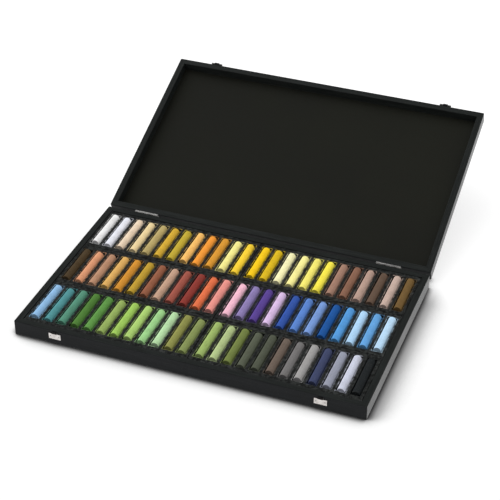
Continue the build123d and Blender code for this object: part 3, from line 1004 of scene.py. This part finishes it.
def foam_tray_tree():
    """Repeats one pocket's cell along a tray, joins it to the tray's ends and gives it its skin."""
    tree, given, end = new_shape("Foam tray", [("Cell", "Object"), MATERIAL, *FOAM_INPUTS])
    places = {"Points": shape_of(tree, given["Row"]), "Instance": shape_of(tree, given["Cell"])}
    cells = add_node(tree, "GeometryNodeInstanceOnPoints", places)
    joined = add_node(tree, "GeometryNodeJoinGeometry")
    tree.links.new(given["Geometry"], joined.inputs[0])
    tree.links.new(cells.outputs[0], joined.inputs[0])
    real = add_node(tree, "GeometryNodeRealizeInstances", {0: joined.outputs[0]})
    close = {"Geometry": real.outputs[0], "Distance": 0.00005}
    merged = add_node(tree, "GeometryNodeMergeByDistance", close)
    finish_foam(tree, given, end, merged.outputs[0])
    return tree


def foam_floor_tree():
    """Gives the foam floor under a tray the same skin."""
    tree, given, end = new_shape("Foam floor", [MATERIAL, *FOAM_INPUTS])
    finish_foam(tree, given, end, given["Geometry"])
    return tree


# ---- operators


STEEL_STARTS = ("hinge_screws", "catch_nails", "latch_nails")


def finish_nodes(names, material):
    """Gives CAD nodes their material."""
    for name in names:
        mesh = frame["nodes"][name].data
        mesh.materials.clear()
        mesh.materials.append(material)


class Step:
    """What every step's operator has"""

    bl_options = {"REGISTER", "UNDO"}


class PASTEL_CASE_OT_shared_groups(Step, bpy.types.Operator):
    """Build the shader groups that the finishes share"""

    bl_idname = "pastel_case.shared_groups"
    bl_label = "Shared Finishes"

    def execute(self, context):
        """Builds each group once."""
        for build in (grain_group, edge_group, dust_group, seam_group):
            build()
        return {"FINISHED"}


class PASTEL_CASE_OT_shells(Step, bpy.types.Operator):
    """Lacquer the walls and panels of the base and the lid"""

    bl_idname = "pastel_case.shells"
    bl_label = "Wooden Shells"

    def execute(self, context):
        """Finishes the boards by shell and by the way their grain runs."""
        for shell in ("base", "lid"):
            of_lid = shell == "lid"
            long_boards = [f"{shell}_wall_front", f"{shell}_wall_back"]
            short_boards = [f"{shell}_wall_{side}" for side in SIDES]
            finish_nodes(long_boards, lacquer_material(f"{shell}_lacquer_long", of_lid, False))
            finish_nodes(short_boards, lacquer_material(f"{shell}_lacquer_short", of_lid, True))
            finish_nodes([f"{shell}_panel"], panel_material(f"{shell}_board", of_lid))
        return {"FINISHED"}


class PASTEL_CASE_OT_fittings(Step, bpy.types.Operator):
    """Plate the hinges, latches, screws and nails"""

    bl_idname = "pastel_case.fittings"
    bl_label = "Hinges and Latches"

    def execute(self, context):
        """Finishes the sheet metal in bright or dull nickel, the levers and their pins in steel darkened as
        painted shade, and the rest in steel.
        """
        metals = (
            # The catch plates' last value paints their upward faces near black: painted shade and a painted
            # dark reflection.
            ("bright_nickel", ("catch_plate",), (228, 224, 221), (202, 196, 193), 0.2, 0.95),
            ("hinge_nickel", ("hinge_leaf", "hinge_pin"), (196, 195, 193), (158, 157, 156), 0.32),
            ("dull_nickel", ("latch_plate",), (124, 124, 122), (96, 96, 95), 0.36),
            # The latch levers and their pins are darkened in colour as painted shade.
            ("shade_painted_steel", ("latch_lever", "latch_pin"), (56, 56, 58), (40, 40, 42), 0.36),
            ("steel", STEEL_STARTS, (186, 184, 182), (150, 148, 146), 0.26),
        )
        for name, starts, colour, dull, *surface in metals:
            material = metal_material(name, screen(*colour), screen(*dull), *surface)
            finish_nodes([node for node in frame["nodes"] if node.startswith(starts)], material)
        return {"FINISHED"}


class PASTEL_CASE_OT_foam(Step, bpy.types.Operator):
    """Build the slotted foam trays and the foam floors under them"""

    bl_idname = "pastel_case.foam"
    bl_label = "Foam Trays"

    def execute(self, context):
        """Builds both foams of every tray round that tray's row of sticks."""
        foam_skin_group()
        trees = {"tray": foam_tray_tree(), "floor": foam_floor_tree()}
        material = foam_material()
        for place in PLACES:
            row = row_of_points(place)
            for build in (self.tray, self.floor):
                build(place, row, trees, material)
            bpy.data.objects.remove(row)
        return {"FINISHED"}

    def values(self, place, row, material):
        """The inputs that both trees take."""
        foam = bpy.context.scene.pastel_case_foam
        low, high = TRAY_BOX[place]
        return {
            "Row": row,
            "Material": material,
            "Pocket width": STICK_DIAMETER + foam.pocket_side_room,
            "Pocket length": STICK_LENGTH + foam.pocket_end_room,
            "Pocket middle": (low.y + high.y) / 2,
            "Dust reach": foam.dust_reach,
            "Unevenness": foam.unevenness,
        }

    def tray(self, place, row, trees, material):
        """Builds one slotted tray."""
        foam = bpy.context.scene.pastel_case_foam
        values = self.values(place, row, material)
        low, high = TRAY_BOX[place]
        first, last = row.data.vertices[0].co, row.data.vertices[-1].co
        half_length = values["Pocket length"] / 2
        half_width = values["Pocket width"] / 2
        front, back = values["Pocket middle"] - half_length, values["Pocket middle"] + half_length
        reach = STICK_PITCH / 2

        # The cell's lines are measured from its stick, and the ends' lines from the case's middle.
        ys = grid_lines([low.y, front, back, high.y], foam.lip, foam.grid)
        zs = grid_lines([low.z, high.z], foam.lip, foam.grid)
        xs = grid_lines([-reach, -half_width, half_width, reach], foam.lip, foam.grid)
        cell = slab_cage(
            f"cell_{place}",
            xs,
            [y - first.y for y in ys],
            [z - first.z for z in zs],
            hole=((-half_width, front - first.y), (half_width, back - first.y)),
            open_sides=(-1, 1),
        )
        ends = bmesh.new()
        for side, stops in ((1, [low.x, first.x - reach]), (-1, [last.x + reach, high.x])):
            end = slab_cage("end", grid_lines(stops, foam.lip, foam.grid), ys, zs, open_sides=(side,))
            ends.from_mesh(end.data)
            bpy.data.objects.remove(end)
        mesh = bpy.data.meshes.new(f"ends_{place}")
        ends.to_mesh(mesh)
        ends.free()
        source = new_object(f"ends_{place}", mesh)
        shape_with(source, trees["tray"], {**values, "Cell": cell})
        self.hand_over(bake_nodes(source, f"slotted_foam_{place}"), place, f"foam_tray_{place}")
        bpy.data.objects.remove(cell)

    def floor(self, place, row, trees, material):
        """Builds the foam floor of one tray."""
        foam = bpy.context.scene.pastel_case_foam
        low, high = FLOOR_BOX[place]
        lines = [grid_lines([low[axis], high[axis]], foam.lip * 2, foam.grid * 1.3) for axis in range(3)]
        source = slab_cage(f"slab_{place}", *lines)
        shape_with(source, trees["floor"], self.values(place, row, material))
        self.hand_over(bake_nodes(source, f"bottom_foam_{place}"), place, f"foam_floor_{place}")

    def hand_over(self, piece, place, node):
        """Puts a finished foam in its CAD node's place."""
        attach(piece, f"tray_{place}")
        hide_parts(node)


class PASTEL_CASE_OT_pastels(Step, bpy.types.Operator):
    """Build the six rows of round pastels"""

    bl_idname = "pastel_case.pastels"
    bl_label = "Pastels"

    def execute(self, context):
        """Builds each tray's sticks as one piece on the body that lifts them out."""
        chalk = context.scene.pastel_case_pastels
        tree = stick_row_tree()
        material = chalk_material()
        stick = round_stick(STICK_LENGTH, STICK_DIAMETER, chalk.edge, chalk.dome)
        for number, place in enumerate(PLACES):
            row = row_of_points(place)
            values = {"Stick": stick, "Material": material, "Seed": chalk.seed + 100 * number}
            for key in ("slide", "sway", "turn", "unevenness"):
                values[key.capitalize()] = getattr(chalk, key)
            shape_with(row, tree, values)
            piece = bake_nodes(row, f"round_pastels_{place}")
            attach(piece, f"sticks_{place}")
            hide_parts(f"pastels_{place}")
        bpy.data.objects.remove(stick)
        return {"FINISHED"}


class PASTEL_CASE_OT_stage(Step, bpy.types.Operator):
    """Set up the camera, the white floor and the soft light"""

    bl_idname = "pastel_case.stage"
    bl_label = "Stage"

    def execute(self, context):
        """Builds the stage from its settings."""
        stage = context.scene.pastel_case_stage
        self.camera(context, stage)
        self.floor(stage)
        self.sky(context, stage)
        self.key_light(context, stage)
        context.scene.view_settings.view_transform = "Standard"
        return {"FINISHED"}

    def camera(self, context, stage):
        """Points the camera as the photograph was taken."""
        data = bpy.data.cameras.new("camera")
        data.sensor_width = 36
        data.lens = stage.lens
        camera = bpy.data.objects.new("camera", data)
        aim = Euler((math.radians(90) - stage.elevation, 0, stage.azimuth)).to_matrix()
        aim = aim @ Matrix.Rotation(stage.roll, 3, "Z")
        camera.matrix_world = Matrix.Translation(stage.place) @ aim.to_4x4()
        context.scene.collection.objects.link(camera)
        context.scene.camera = camera

    def floor(self, stage):
        """Lays a white floor just under the case."""
        mesh = bpy.data.meshes.new("floor")
        half, under = 6.0, -0.00005
        corners = [(x * half, y * half, under) for x, y in ((-1, -1), (1, -1), (1, 1), (-1, 1))]
        mesh.from_pydata(corners, [], [(0, 1, 2, 3)])
        mesh.materials.append(floor_material(stage))
        new_object("floor", mesh)

    def sky(self, context, stage):
        """White to the camera, white up to a dim ceiling in reflections, and soft light from above."""
        world = bpy.data.worlds.new("soft_white")
        world.use_nodes = True
        context.scene.world = world
        tree = world.node_tree
        height = split_vector(tree, add_node(tree, "ShaderNodeTexCoord").outputs["Generated"])["Z"]
        soft = spread(tree, height, -0.1, 0.9, stage.low_sky, stage.high_sky)
        mirrored = spread(tree, height, 0.1, 0.65, 1.0, stage.ceiling)
        rays = add_node(tree, "ShaderNodeLightPath").outputs
        shiny = calculate(tree, "MAXIMUM", rays["Is Glossy Ray"], rays["Is Transmission Ray"])
        strength = blend_values(tree, shiny, soft, mirrored)
        strength = blend_values(tree, rays["Is Camera Ray"], strength, 1.0)
        background = tree.nodes["Background"]
        background.inputs["Color"].default_value = (1, 1, 1, 1)
        tree.links.new(strength, background.inputs["Strength"])

    def key_light(self, context, stage):
        """A wide soft lamp from above on the left."""
        data = bpy.data.lights.new("key", "SUN")
        data.energy = stage.key
        data.angle = stage.key_size
        lamp = bpy.data.objects.new("key", data)
        lamp.rotation_euler = Vector(stage.key_from).to_track_quat("Z", "Y").to_euler()
        context.scene.collection.objects.link(lamp)


class PASTEL_CASE_PT_panel(bpy.types.Panel):
    """The case's settings, and the steps that finish it"""

    bl_idname = "PASTEL_CASE_PT_panel"
    bl_label = "Pastel Case"
    bl_space_type = "VIEW_3D"
    bl_region_type = "UI"
    bl_category = "Pastel Case"

    def draw(self, context):
        """Lists each group of settings and then the steps."""
        for name, kind in SETTINGS.items():
            box = self.layout.box()
            box.label(text=kind.__doc__)
            for key in kind.__annotations__:
                box.prop(getattr(context.scene, name), key)
        for step in STEPS:
            self.layout.operator(step.bl_idname)


SETTINGS = {
    "pastel_case_wood": WoodSettings,
    "pastel_case_foam": FoamSettings,
    "pastel_case_pastels": PastelSettings,
    "pastel_case_stage": StageSettings,
}
STEPS = (
    PASTEL_CASE_OT_shared_groups,
    PASTEL_CASE_OT_shells,
    PASTEL_CASE_OT_fittings,
    PASTEL_CASE_OT_foam,
    PASTEL_CASE_OT_pastels,
    PASTEL_CASE_OT_stage,
)


def register():
    """Registers the settings, the steps and the panel."""
    for name, kind in SETTINGS.items():
        bpy.utils.register_class(kind)
        setattr(bpy.types.Scene, name, PointerProperty(type=kind))
    for kind in (*STEPS, PASTEL_CASE_PT_panel):
        bpy.utils.register_class(kind)


def unregister():
    """Takes them away again."""
    for kind in (PASTEL_CASE_PT_panel, *reversed(STEPS)):
        bpy.utils.unregister_class(kind)
    for name, kind in SETTINGS.items():
        delattr(bpy.types.Scene, name)
        bpy.utils.unregister_class(kind)


def main():
    """Finishes the case step by step."""
    register()
    bpy.ops.pastel_case.shared_groups()
    bpy.ops.pastel_case.shells()
    bpy.ops.pastel_case.fittings()
    bpy.ops.pastel_case.foam()
    bpy.ops.pastel_case.pastels()
    bpy.ops.pastel_case.stage()


if __name__ == "__main__":
    main()
